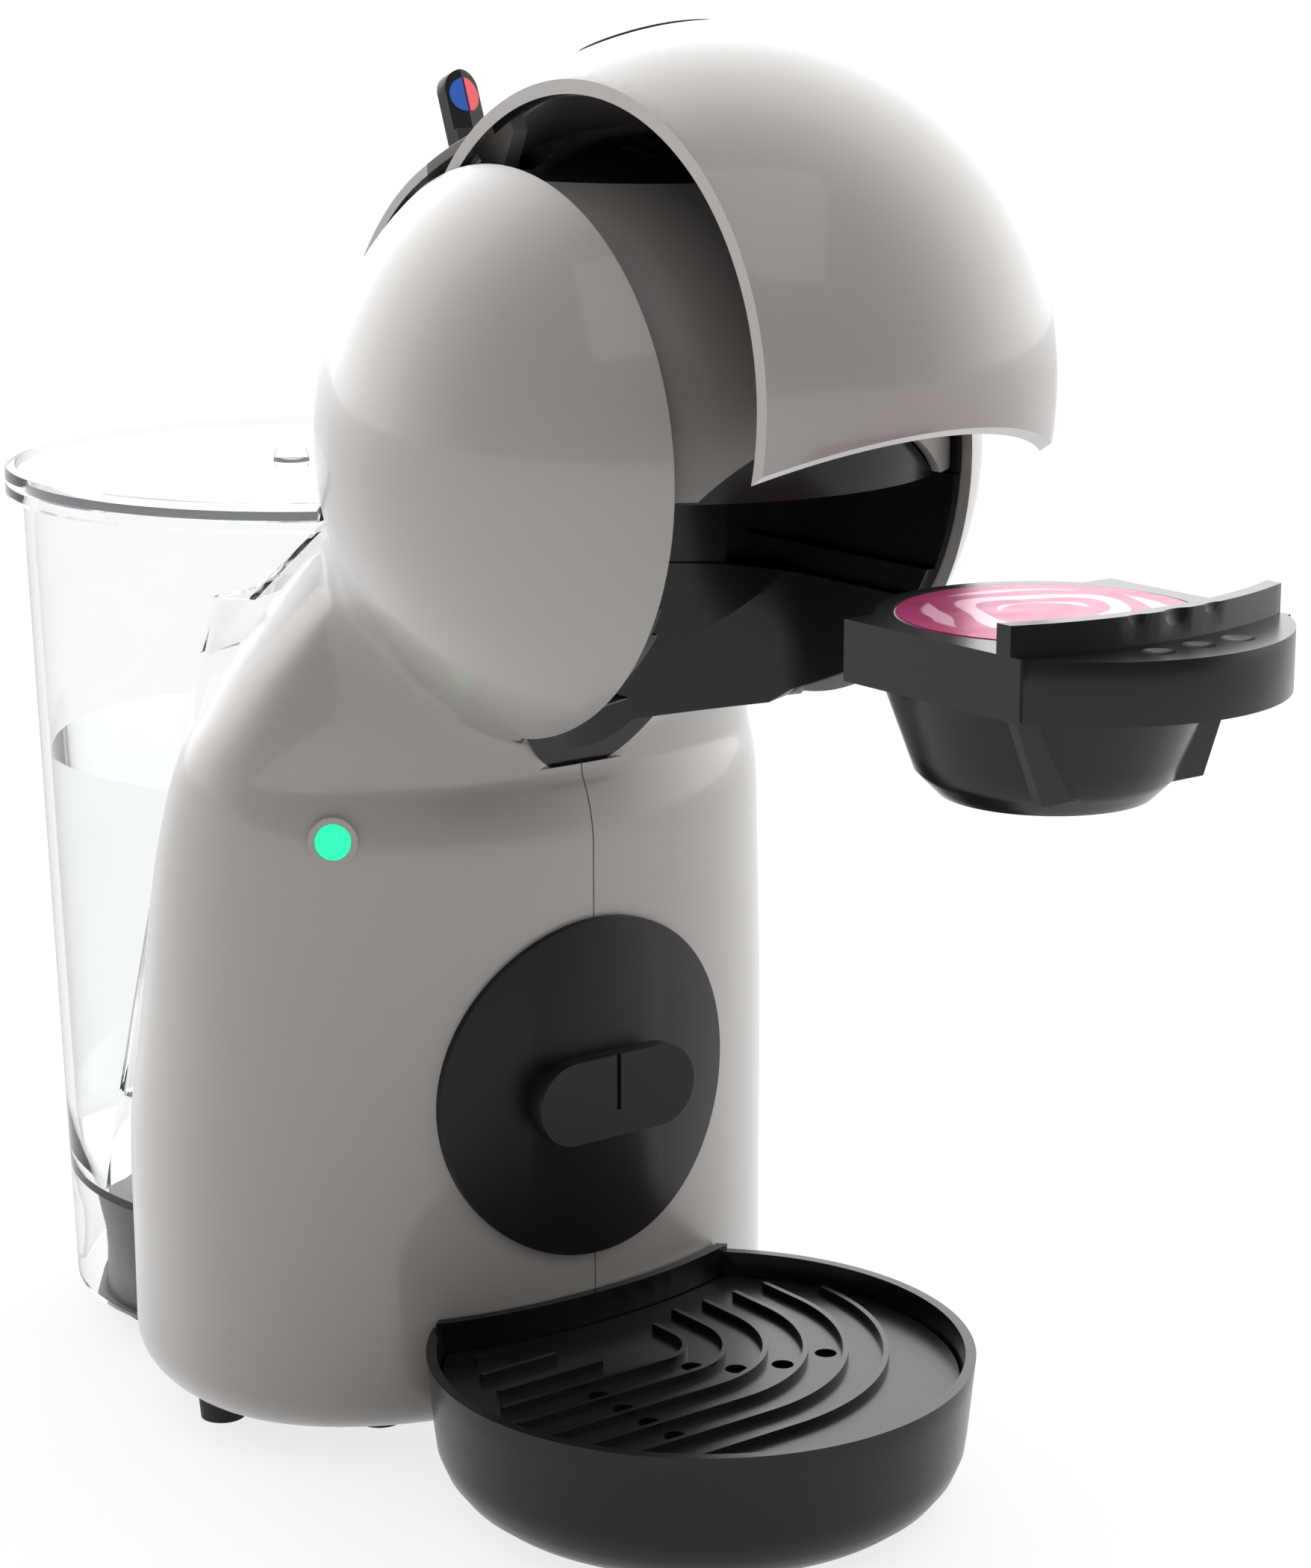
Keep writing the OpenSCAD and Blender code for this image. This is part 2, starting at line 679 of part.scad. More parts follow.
module holder_plan(g = 0) {
    translate([-holder_w / 2, front_y - 18]) square([holder_w, 42.5]);
    translate([0, pod_y]) circle(r = ring_r);
    intersection() {
        translate([0, front_y]) circle(r = front_r);
        translate([-holder_w / 2, front_y - 40]) square([holder_w, 40]);
    }
}
module holder() {
    cup_r1 = pod_r + 2.3;
    color([0.03, 0.03, 0.03]) difference() {
        union() {
            translate([0, 0, plate_z]) linear_extrude(holder_t) holder_plan();
            translate([0, pod_y, cup_bottom + 4]) cylinder(r1 = cup_r1 - 6, r2 = cup_r1, h = 16.1);
            translate([0, pod_y, cup_bottom]) cylinder(r1 = cup_r1 - 10, r2 = cup_r1 - 6, h = 4);
            translate([0, pod_y - 16.7, 0]) rotate([90, 0, 0]) linear_extrude(2) polygon([
                [-26, plate_z + 1], [-18.5, plate_z - 16.6], [18.5, plate_z - 16.6], [26, plate_z + 1]
            ]);
            intersection() {
                translate([0, bar_y, plate_top - 1]) difference() {
                    cylinder(r = bar_r + 1.4, h = 6);
                    translate([0, 0, -1]) cylinder(r = bar_r - 1.6, h = 8);
                }
                box(-holder_w / 2, holder_w / 2, bar_y - bar_r - 3, bar_y - 60, plate_z, bar_top);
                translate([0, 0, plate_z]) linear_extrude(40) holder_plan();
            }
        }
        translate([0, pod_y, seat_z]) cylinder(r = pod_r + 0.3, h = 40);
        translate([0, pod_y, plate_top - pod_d - 2.6])
            cylinder(r1 = pod_r - 6.3, r2 = pod_r - 1, h = pod_d + 2.6);
        translate([0, pod_y, cup_bottom - 1]) cylinder(r = 4, h = 10);
        for (i = [-1, 0, 1])
            translate([9 * i, bar_y - bar_r - 6.5, plate_top + 5.3]) rotate([0, 12 * i, 0])
                sphere(r = 6);
    }
}
module pod_cup() {
    z0 = plate_top - pod_d - 2.2;
    color([0.8, 0.8, 0.8]) translate([0, pod_y, 0]) difference() {
        union() {
            translate([0, 0, seat_z + fit]) cylinder(r = pod_r, h = 1);
            translate([0, 0, z0]) cylinder(r1 = pod_r - 6.8, r2 = pod_r - 1.5, h = seat_z + fit - z0);
        }
        translate([0, 0, z0 + 1])
            cylinder(r1 = pod_r - 7.8, r2 = pod_r - 2.5, h = seat_z + fit - z0);
        translate([0, 0, seat_z + fit - 0.1]) cylinder(r = pod_r - 2.5, h = 3);
    }
}
module pod_foil() {
    color([0.75, 0.1, 0.4]) translate([0, pod_y, seat_z + fit + 1])
        cylinder(r = pod_r - 0.3, h = 0.3);
}

module tray_outline(r, g) {
    difference() {
        translate([0, tray_y]) circle(r = r);
        polygon(body_outline(20, -g));
    }
}
module tray_bowl(g, top) {
    low = tray_r - g - 1.4;
    arc_r = tray_round - g;
    translate([0, tray_y, 0]) rotate_extrude() polygon(concat(
        [[0, g]],
        [for (i = [0 : 6]) [low - arc_r + arc_r * sin(15 * i), tray_round - arc_r * cos(15 * i)]],
        [[tray_r - g, top], [0, top]]
    ));
}
module behind_tray(g) {
    translate([0, 0, -1]) linear_extrude(80) polygon(body_outline(20, -g));
}
module drip_tray() {
    color([0.03, 0.03, 0.03]) difference() {
        union() {
            difference() {
                tray_bowl(0, tray_h);
                difference() {
                    tray_bowl(tray_wall, tray_h + 1);
                    behind_tray(tray_gap + tray_wall);
                }
            }
            intersection() {
                translate([0, tray_y, tray_h - 4]) cylinder(r = tray_r - 1, h = 4 + lip_up);
                behind_tray(tray_gap + tray_wall);
            }
            intersection() {
                translate([0, tray_y, grid_z - 2.6]) difference() {
                    cylinder(r = tray_r - 1.5, h = 2.3);
                    translate([0, 0, -1]) cylinder(r = tray_r - 5, h = 5);
                }
                box(-80, 80, tray_y - 80, tray_y + 30, 0, 50);
            }
        }
        behind_tray(tray_gap);
    }
}
module rib_row(r, x0, end) {
    w = 1.1;
    cx = -4;
    cy = tray_y + 14.5;
    translate([cx, cy]) intersection() {
        difference() {
            circle(r = r + w / 2);
            circle(r = r - w / 2);
        }
        translate([0, -r - 2]) square([r + 2, r + 2]);
    }
    translate([x0, cy - r - w / 2]) square([cx - x0, w]);
    translate([cx + r - w / 2, cy]) square([w, end]);
}
module grid_ribs() {
    for (i = [0 : 4]) {
        r = 17 + i * rib_pitch;
        rib_row(r, -sqrt(pow(tray_r - 8, 2) - pow(r - 14.5, 2)), i < 4 ? 11 : 2);
    }
    rib_row(9, -44, 7);
    translate([-40, tray_y + 12]) square([25, 1.1]);
    translate([-38, tray_y + 20.5]) square([18, 1.1]);
    translate([-34, tray_y + 28]) square([7, 1.1]);
}
module drip_grid() {
    color([0.03, 0.03, 0.03]) difference() {
        union() {
            translate([0, 0, grid_z]) linear_extrude(1.6) tray_outline(tray_r - tray_wall - 1.2,
                1 + tray_wall);
            intersection() {
                translate([0, 0, grid_z]) linear_extrude(3.2) grid_ribs();
                translate([0, 0, grid_z]) linear_extrude(4) tray_outline(tray_r - tray_wall - 3,
                    3 + tray_wall);
            }
        }
        for (i = [0 : 3]) {
            translate([-4, tray_y + 14.5, grid_z - 1]) rotate([0, 0, -75 + 12 * i])
                translate([13 + i * rib_pitch, 0, 0]) cylinder(r = 2.2, h = 5);
            translate([-24, tray_y + 1.5 - i * rib_pitch, grid_z - 1]) cylinder(r = 2.2, h = 5);
        }
    }
}

module tank_cone(r, g, z0, z1) {
    slope = (tank_r1 - tank_r0) / (tank_top - tank_z0);
    translate([0, tank_y, z0])
        cylinder(r1 = r + slope * (z0 - tank_z0) - g, r2 = r + slope * (z1 - tank_z0) - g, h = z1 - z0);
}
module tank() {
    color([0.85, 0.92, 0.95, 0.4]) difference() {
        union() {
            difference() {
                tank_cone(tank_r0, 0, tank_z0, tank_top);
                tank_clear(0);
            }
            difference() {
                translate([0, tank_y, tank_top - rim_h]) cylinder(r = rim_r, h = rim_h);
                tank_clear(0);
            }
        }
        difference() {
            tank_cone(tank_r0, tank_wall, tank_floor + 2, tank_top + 1);
            tank_clear(tank_wall);
        }
        difference() {
            tank_cone(tank_r0, tank_wall, tank_z0 - 1, tank_floor);
            tank_clear(tank_wall);
        }
        difference() {
            translate([0, tank_y, tank_top - rim_h + 2]) cylinder(r = rim_r - tank_wall, h = 20);
            tank_clear(tank_wall);
        }
        translate([0, tank_y + 24, tank_floor - 1]) cylinder(r = 4.2, h = 5);
        box(-3.2, 3.2, tank_y - 5, tank_y + 12, 0, foot_h + 10);
    }
}
module tank_lid() {
    color([0.85, 0.92, 0.95, 0.4]) {
        difference() {
            translate([0, tank_y, tank_top - rim_h + 2.3]) cylinder(r = rim_r - tank_wall - fit, h = 1.8);
            tank_clear(tank_wall + fit);
        }
        translate([0, tank_y + 8, tank_top - rim_h + 4]) cylinder(r1 = 4, r2 = 3, h = 4);
    }
}

module lever() {
    color([0.1, 0.1, 0.1]) lever_pose() difference() {
        union() {
            intersection() {
                translate([0, 0, lever_l - lever_w / 2]) union() {
                    rod_y(lever_w / 2, -lever_t / 2, lever_t / 2);
                    box(-lever_w / 2, lever_w / 2, -lever_t / 2, lever_t / 2, -lever_l + 4, 0);
                }
                union() {
                    for (s = [-1, 1]) translate([0, -lever_t / 2, 0]) rotate([0, 0, 14 * s])
                        translate([s < 0 ? -20 : 0, 0, 0]) cube([20, 20, 90]);
                    box(-20, 20, -20, 20, 0, lever_l - 12);
                }
            }
            rod_y(6, -lever_t / 2, lever_t / 2);
        }
        rod_y(2.05, -20, 20);
    }
}
module lever_mark(side) {
    lever_pose() translate([0, -lever_t / 2, lever_l - 5.2]) rotate([0, 0, 14 * side])
        intersection() {
            rod_y(3.4, -0.25, -0.02);
            box(side < 0 ? -5 : 0.15, side < 0 ? -0.15 : 5, -2, 2, -5, 5);
        }
}
module lever_mark_cold() {
    color([0.16, 0.4, 0.78]) lever_mark(-1);
}
module lever_mark_hot() {
    color([0.94, 0.25, 0.29]) lever_mark(1);
}
module lever_shaft() {
    color([0.7, 0.7, 0.72]) lever_pose() rod_y(2, -12, 6);
}
module selector_valve() {
    color([0.75, 0.75, 0.72]) lever_pose() difference() {
        union() {
            rod_y(7, -22, -lever_t / 2 - 1);
            rod_y(7.8, -12, -lever_t / 2 - 1);
        }
        rod_y(2.05, -14, 20);
    }
}

function unit(v) = v / norm(v);
function heading(p, i) = unit(
    (i < len(p) - 1 ? unit(p[i + 1] - p[i]) : [0, 0, 0]) + (i > 0 ? unit(p[i] - p[i - 1]) : [0, 0, 0])
);
function hose_ring(p, i, r) = let (
    t = heading(p, i),
    u = unit(cross(t, [0.9, 0.3, 0.2])),
    v = cross(t, u)
) [for (j = [0 : 7]) p[i] + r * (cos(j * 45) * u + sin(j * 45) * v)];
// A hose: eight-sided tube along a list of points
module hose(p, r) {
    n = len(p);
    polyhedron(
        points = [for (i = [0 : n - 1]) each hose_ring(p, i, r)],
        faces = concat(
            [for (i = [0 : n - 2]) for (j = [0 : 7]) for (k = [0, 1])
                let (a = i * 8 + j, b = i * 8 + (j + 1) % 8)
                    k == 0 ? [b, a, b + 8] : [b + 8, a, a + 8]],
            [[for (j = [0 : 7]) j], [for (j = [7 : -1 : 0]) (n - 1) * 8 + j]]
        )
    );
}

module pump() {
    color([0.5, 0.5, 0.52]) translate([pump_x, 0, pump_z]) {
        rod_y(pump_r, pump_y0, pump_y1);
        rod_y(3, pump_y0 - 6, pump_y1 + 5);
    }
}
module pump_mounts() {
    color([0.08, 0.08, 0.08]) difference() {
        for (y = [pump_y0 + 5, pump_y1 - 12])
            box(pump_x - pump_r - 2.5, pump_x + pump_r + 2.5, y, y + 7, foot_h + 3, pump_z + 6);
        translate([pump_x, 0, pump_z]) rod_y(pump_r + 0.1, 0, 100);
    }
}
module heater() {
    color([0.78, 0.78, 0.8]) translate([heater_x, heater_y, heater_z]) {
        cylinder(r = 20, h = heater_h);
        translate([0, 0, heater_h]) cylinder(r = 3.5, h = 6);
        translate([inlet_x, 0, -6]) cylinder(r = 2.5, h = 8);
    }
}
module heater_bracket() {
    color([0.65, 0.65, 0.67]) translate([heater_x, heater_y, 0]) difference() {
        union() {
            box(-18, 18, -18, 18, heater_z - 2, heater_z - tiny);
            for (x = [-18, 16]) box(x, x + 2, -18, 18, foot_h + 3, heater_z - 2);
        }
        translate([inlet_x, 0, heater_z - 9]) cylinder(r = 3, h = 20);
    }
}
module heater_fuse() {
    color([0.85, 0.83, 0.78]) translate([heater_x - 12, heater_y, heater_z + heater_h])
        cylinder(r = 5, h = 4);
}
module tank_hose() {
    y = tank_y - 11.25;
    color([0.75, 0.75, 0.75]) hose([
        [0, tank_y + 16.4, hose_z], [0, y, hose_z], [4, y - 2, hose_z + 0.5],
        [pump_x - 5, y, hose_z + 1.5],
        [pump_x, y, 17], [pump_x, y - 4, pump_z], [pump_x, pump_y1 + 5.3, pump_z]
    ], 2.3);
}
module cold_hose() {
    x = heater_x + inlet_x;
    color([0.75, 0.75, 0.75]) hose([
        [pump_x, pump_y0 - 6.3, pump_z], [pump_x, pump_y0 - 11, pump_z],
        [pump_x - 1, pump_y0 - 13, 32], [pump_x - 5, pump_y0 - 9, 42], [pump_x - 9, pump_y0 - 1, 46],
        [pump_x - 34, heater_y - 23, 36], [x, heater_y - 24, 26], [x, heater_y - 11, 18],
        [x, heater_y - 1, 21], [x, heater_y, 27], [x, heater_y, heater_z - 6.3]
    ], 2.3);
}
module hot_hose() {
    color([0.85, 0.85, 0.82]) hose([
        [heater_x, heater_y, heater_z + heater_h + 6.3], [heater_x + 2, heater_y - 2, 130],
        [-12, 40, 160], [-9, 32, 190], [-5, 24.5, lever_z - 11]
    ], 2.1);
}
module control_board() {
    color([0.1, 0.35, 0.2]) at_button() box(-14, 15, 14.1, 15.7, -28, 10);
}
module power_switch() {
    color([0.1, 0.1, 0.1]) at_button() {
        box(-4, 4, 10, 14, -4, 4);
        rod_y(1.5, 7.6, 10);
    }
}
module power_button() {
    color([0, 1, 0.6]) at_button() {
        rod_y(button_r, -0.4, 2.2);
        rod_y(button_r - 1.2, 2.2, 6.2);
    }
}
module button_ring() {
    color([0.1, 0.1, 0.1]) at_button() difference() {
        rod_y(button_r + 1.35, -0.3, 3.4);
        rod_y(button_r + 0.15, -5, 8);
    }
}
module at_inlet() {
    p = skin_point(16, 112, 0);
    translate([p[0], p[1], 16]) rotate([0, 0, 105]) children();
}
module cord_inlet() {
    color([0.06, 0.06, 0.06]) at_inlet() difference() {
        rod_y(5, -3, 5);
        rod_y(3.4, -9, 9);
    }
}

left_shell();
right_shell();
base_plate();
feet();
base_screws();
tank_seat();
tank_valve();
front_disc();
alcove_liner();
left_inner_wall();
right_inner_wall();
front_panel();
top_deck();
jaw();
frame();
rear_cover();
hood_shell();
hood_liner();
hood_badge();
hinge_pin();
injector();
injector_needle();
injector_seal();
holder();
pod_cup();
pod_foil();
drip_tray();
drip_grid();
tank();
tank_lid();
lever();
lever_mark_cold();
lever_mark_hot();
lever_shaft();
selector_valve();
pump();
pump_mounts();
heater();
heater_bracket();
heater_fuse();
cold_hose();
tank_hose();
hot_hose();
control_board();
power_switch();
power_button();
button_ring();
cord_inlet();
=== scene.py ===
"""Looks of a pod coffee machine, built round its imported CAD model."""

from __future__ import annotations

import json
import logging
import math
from collections.abc import Iterable, Sequence
from dataclasses import dataclass, field
from enum import Enum

import bmesh
import bpy
from mathutils import Matrix, Vector

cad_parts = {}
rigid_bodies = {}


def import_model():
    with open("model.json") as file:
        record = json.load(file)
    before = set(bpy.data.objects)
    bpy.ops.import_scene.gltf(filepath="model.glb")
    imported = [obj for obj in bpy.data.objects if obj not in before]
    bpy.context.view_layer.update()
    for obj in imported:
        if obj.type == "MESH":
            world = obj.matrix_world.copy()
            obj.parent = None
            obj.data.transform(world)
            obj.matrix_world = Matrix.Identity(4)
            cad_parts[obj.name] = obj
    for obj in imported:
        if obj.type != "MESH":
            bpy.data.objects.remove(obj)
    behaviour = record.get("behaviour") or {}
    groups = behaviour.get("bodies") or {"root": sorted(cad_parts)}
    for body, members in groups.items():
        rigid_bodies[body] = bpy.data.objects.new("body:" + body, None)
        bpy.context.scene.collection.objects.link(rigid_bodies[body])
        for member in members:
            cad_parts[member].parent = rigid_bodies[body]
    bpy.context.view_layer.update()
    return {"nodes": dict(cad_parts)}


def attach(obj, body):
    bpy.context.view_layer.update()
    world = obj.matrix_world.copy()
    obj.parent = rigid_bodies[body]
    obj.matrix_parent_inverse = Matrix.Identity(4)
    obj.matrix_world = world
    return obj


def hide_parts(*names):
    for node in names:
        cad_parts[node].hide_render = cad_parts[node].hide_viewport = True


MM = 0.001
SHARP_ANGLE = math.radians(34)
HEAD_CENTRE = (0.0, -15.5, 207.3)
WHITE = (1.0, 1.0, 1.0)
DUST = (0.45, 0.44, 0.42)
# Grey mixed into clear parts at grazing angles: painted shade along their rims.
CLEAR_RIM_SHADE = (0.28, 0.29, 0.3)
log = logging.getLogger("coffee_machine")


# ---------------------------------------------------------------- shader maths
class Value:
    """A shader socket that takes part in Python arithmetic."""

    def __init__(self, graph: Graph, socket: bpy.types.NodeSocket | None) -> None:
        """Wraps one output socket.

        Args:
            graph: The graph that the socket belongs to.
            socket: The output socket.
        """
        self.graph = graph
        self.socket = socket

    def _math(self, operation: str, a: Value | float, b: Value | float = 0.0) -> Value:
        """Adds one Math node.

        Args:
            operation: Name of the Math node's operation.
            a: First input.
            b: Second input.

        Returns:
            The node's result.
        """
        return self.graph.node("ShaderNodeMath", {"operation": operation}, {0: a, 1: b})

    def __add__(self, other: Value | float) -> Value:
        return self._math("ADD", self, other)

    def __rsub__(self, other: float) -> Value:
        return self._math("SUBTRACT", other, self)

    def __mul__(self, other: Value | float) -> Value:
        return self._math("MULTIPLY", self, other)

    def __pow__(self, other: Value | float) -> Value:
        return self._math("POWER", self, other)

    def clamp(self) -> Value:
        """Keeps the value between 0 and 1.

        Returns:
            The clamped value.
        """
        return self.graph.node("ShaderNodeClamp", {}, {"Value": self})

    def step(self, low: float, high: float) -> Value:
        """Rises smoothly from 0 at low to 1 at high.

        Args:
            low: Value where the result is 0.
            high: Value where the result is 1.

        Returns:
            The smoothed value.
        """
        settings = {"interpolation_type": "SMOOTHSTEP"}
        return self.graph.node(
            "ShaderNodeMapRange",
            settings,
            {"Value": self, "From Min": low, "From Max": high},
        )


Input = Value | float | Sequence[float]


class Graph:
    """The node tree of one material or of the world."""

    def __init__(self, tree: bpy.types.NodeTree) -> None:
        """Starts from an empty tree.

        Args:
            tree: The node tree, which is cleared.
        """
        self.tree = tree
        tree.nodes.clear()

    def node(
        self,
        kind: str,
        settings: dict[str, object] | None = None,
        inputs: dict[str | int, Input] | None = None,
        output: str | int = 0,
    ) -> Value:
        """Adds a node of any type.

        Args:
            kind: The node's type.
            settings: Properties that are set first.
            inputs: Values or links of its sockets, by name or number.
            output: The output that is handed back.

        Returns:
            The chosen output.
        """
        made = self.tree.nodes.new(kind)
        for name, value in (settings or {}).items():
            setattr(made, name, value)
        for key, value in (inputs or {}).items():
            if isinstance(value, Value):
                self.tree.links.new(value.socket, made.inputs[key])
            else:
                made.inputs[key].default_value = value
        return Value(self, made.outputs[output] if made.outputs else None)

    def place(self) -> Value:
        """Object coordinates, which are metres in the shared frame.

        Returns:
            The coordinate vector.
        """
        return self.node("ShaderNodeTexCoord", output="Object")

    def noise(self, scale: float, detail: float = 2.0) -> Value:
        """Noise in object coordinates.

        Args:
            scale: Waves per metre.
            detail: Octaves.

        Returns:
            The noise's value, mostly 0.3 to 0.7.
        """
        inputs = {"Vector": self.place(), "Scale": scale, "Detail": detail}
        return self.node("ShaderNodeTexNoise", {}, inputs)

    def mix(self, factor: Input, a: Input, b: Input) -> Value:
        """Mixes two colours.

        Args:
            factor: 0 for a, 1 for b.
            a: First colour.
            b: Second colour.

        Returns:
            The mixed colour.
        """
        return self.node(
            "ShaderNodeMix", {"data_type": "RGBA"}, {0: factor, 6: a, 7: b}, output=2
        )

    def bump(self, height: Value, strength: float, distance: float) -> Value:
        """Turns a height into a normal.

        Args:
            height: The height, 0 to 1.
            strength: How strongly it shows.
            distance: Height in metres that 1 stands for.

        Returns:
            The normal.
        """
        inputs = {"Height": height, "Strength": strength, "Distance": distance}
        return self.node("ShaderNodeBump", {}, inputs)

    def surface(self, shader: Value) -> None:
        """Joins a shader to the material's output.

        Args:
            shader: The shader's output.
        """
        self.node("ShaderNodeOutputMaterial", {}, {"Surface": shader})


Colour = tuple[float, float, float]


def rgba(colour: Colour, gain: float = 1.0) -> tuple[float, float, float, float]:
    """Makes a socket colour.

    Args:
        colour: Red, green and blue.
        gain: Factor on all three.

    Returns:
        The colour with full alpha.
    """
    return (colour[0] * gain, colour[1] * gain, colour[2] * gain, 1.0)


def blank(name: str) -> tuple[bpy.types.Material, Graph]:
    """Starts a material.

    Args:
        name: Name of the material.

    Returns:
        The material and its empty node tree.
    """
    material = bpy.data.materials.new(name)
    material.use_nodes = True
    return material, Graph(material.node_tree)


@dataclass(frozen=True)
class Plastic:
    """Moulded plastic with faint flow marks, wear, grain and a glossier edge."""

    name: str
    colour: Colour
    roughness: float = 0.3
    coat: float = 0.0
    grain: float = 0.00002
    grain_scale: float = 900.0
    drift: float = 0.04
    dust: float = 0.0
    shine: float = 0.5
    wear: float = 0.2
    edge: float = 0.0
    edge_power: float = 3.0

    def build(self) -> bpy.types.Material:
        """Builds the material.

        Returns:
            The finished material.
        """
        material, g = blank(self.name)
        flow = g.noise(5.0, 0.0)
        wear = g.noise(30.0, 1.0)
        fine = g.noise(self.grain_scale, 1.0)
        body = g.mix(
            flow, rgba(self.colour, 1.0 - self.drift), rgba(self.colour, 1.0 + self.drift)
        )
        colour = g.mix(wear * self.dust, body, rgba(DUST))
        rough = wear * (self.wear * self.roughness) + flow * (0.1 * self.roughness)
        normal = g.bump(fine, 0.35, self.grain)
        moulded = g.node(
            "ShaderNodeBsdfPrincipled",
            {},
            {
                "Base Color": colour,
                "Roughness": rough + self.roughness * 0.85,
                "Normal": normal,
                "IOR": 1.5,
                "Specular IOR Level": self.shine,
                "Coat Weight": self.coat,
                "Coat Roughness": 0.06,
            },
        )
        facing = g.node("ShaderNodeLayerWeight", {}, {"Blend": 0.5}, "Facing")
        gloss = g.node("ShaderNodeBsdfAnisotropic", {}, {"Roughness": self.roughness})
        rim = facing**self.edge_power * self.edge
        g.surface(g.node("ShaderNodeMixShader", {}, {0: rim, 1: moulded, 2: gloss}))
        return material


@dataclass(frozen=True)
class Metal:
    """Bare metal with fine drawn lines and dull patches."""

    name: str
    colour: Colour
    roughness: float = 0.3
    line_scale: float = 700.0

    def build(self) -> bpy.types.Material:
        """Builds the material.

        Returns:
            The finished material.
        """
        material, g = blank(self.name)
        lines = g.noise(self.line_scale, 2.0)
        patches = g.noise(40.0, 3.0).step(0.35, 0.7)
        colour = g.mix(patches, rgba(self.colour, 0.88), rgba(self.colour, 1.05))
        g.surface(
            g.node(
                "ShaderNodeBsdfPrincipled",
                {},
                {
                    "Base Color": colour,
                    "Metallic": 1.0,
                    "Roughness": patches * 0.12 + self.roughness,
                    "Normal": g.bump(lines, 0.2, 0.00003),
                },
            )
        )
        return material


@dataclass(frozen=True)
class Clear:
    """Clear moulded plastic or water, with painted grey shade along its grazing edges."""

    name: str
    colour: Colour
    ior: float = 1.45
    roughness: float = 0.0
    ripple: float = 0.00002
    # Strength and sharpness of the painted rim shade on clear parts.
    rim: float = 0.55
    rim_shade_power: float = 7.0

    def build(self) -> bpy.types.Material:
        """Builds the material.

        Returns:
            The finished material.
        """
        material, g = blank(self.name)
        marks = g.noise(45.0, 3.0).step(0.45, 0.8)
        wave = g.noise(18.0, 1.0)
        tint = g.mix(marks, rgba(self.colour), rgba(self.colour, 0.985))
        glass = g.node(
            "ShaderNodeBsdfPrincipled",
            {},
            {
                "Base Color": tint,
                "Roughness": marks * 0.03 + self.roughness,
                "Transmission Weight": 1.0,
                "IOR": self.ior,
                "Normal": g.bump(wave, 0.2, self.ripple),
            },
        )
        through = g.node("ShaderNodeBsdfTransparent", {}, {"Color": rgba(self.colour)})
        shadow = g.node("ShaderNodeLightPath", output="Is Shadow Ray")
        clear = g.node("ShaderNodeMixShader", {}, {0: shadow, 1: glass, 2: through})
        # A grey diffuse mixed in towards the silhouette: a painted dark outline, painted shade
        # standing in for the rims of clear plastic.
        rim = g.node("ShaderNodeLayerWeight", {}, {"Blend": 0.5}, "Facing") ** self.rim_shade_power
        line = g.node("ShaderNodeBsdfDiffuse", {}, {"Color": rgba(CLEAR_RIM_SHADE)})
        g.surface(
            g.node("ShaderNodeMixShader", {}, {0: rim * self.rim, 1: clear, 2: line})
        )
        return material


@dataclass(frozen=True)
class Lit:
    """A lit cap with a nearly even, faintly cloudy glow."""

    name: str
    colour: Colour
    glow: float = 1.0

    def build(self) -> bpy.types.Material:
        """Builds the material.

        Returns:
            The finished material.
        """
        material, g = blank(self.name)
        cloud = g.noise(300.0, 2.0).step(0.3, 0.7)
        g.surface(
            g.node(
                "ShaderNodeBsdfPrincipled",
                {},
                {
                    "Base Color": rgba(self.colour, 0.6),
                    "Roughness": cloud * 0.08 + 0.25,
                    "Emission Color": g.mix(
                        cloud, rgba(self.colour, 0.94), rgba(self.colour)
                    ),
                    "Emission Strength": self.glow,
                },
            )
        )
        return material


@dataclass(frozen=True)
class Foil:
    """Printed foil: a pale wavy print over a strong ground, with soft creases."""

    name: str
    colour: Colour
    print_colour: Colour
    centre: tuple[float, float, float]
    radius: float

    def build(self) -> bpy.types.Material:
        """Builds the material.

        Returns:
            The finished material.
        """
        material, g = blank(self.name)
        place = g.node(
            "ShaderNodeVectorMath",
            {"operation": "SUBTRACT"},
            {0: g.place(), 1: self.centre},
        )
        reach = g.node("ShaderNodeVectorMath", {"operation": "LENGTH"}, {0: place}, "Value")
        waves = g.node(
            "ShaderNodeTexWave",
            {"wave_type": "RINGS", "rings_direction": "Z"},
            {"Vector": place, "Scale": 36.0, "Distortion": 9.0, "Detail": 1.0,
             "Detail Scale": 1.0},
            "Fac",
        )
        band = reach.step(self.radius * 0.30, self.radius * 0.34) * (
            1 - reach.step(self.radius * 0.80, self.radius * 0.84)
        )
        printed = waves.step(0.45, 0.6) * band
        crease = g.noise(160.0, 3.0)
        colour = g.mix(printed * 0.8, rgba(self.colour), rgba(self.print_colour))
        g.surface(
            g.node(
                "ShaderNodeBsdfPrincipled",
                {},
                {
                    "Base Color": colour,
                    "Metallic": 0.35,
                    "Roughness": crease * 0.2 + 0.22,
                    "Normal": g.bump(crease, 0.5, 0.0002),
                },
            )
        )
        return material


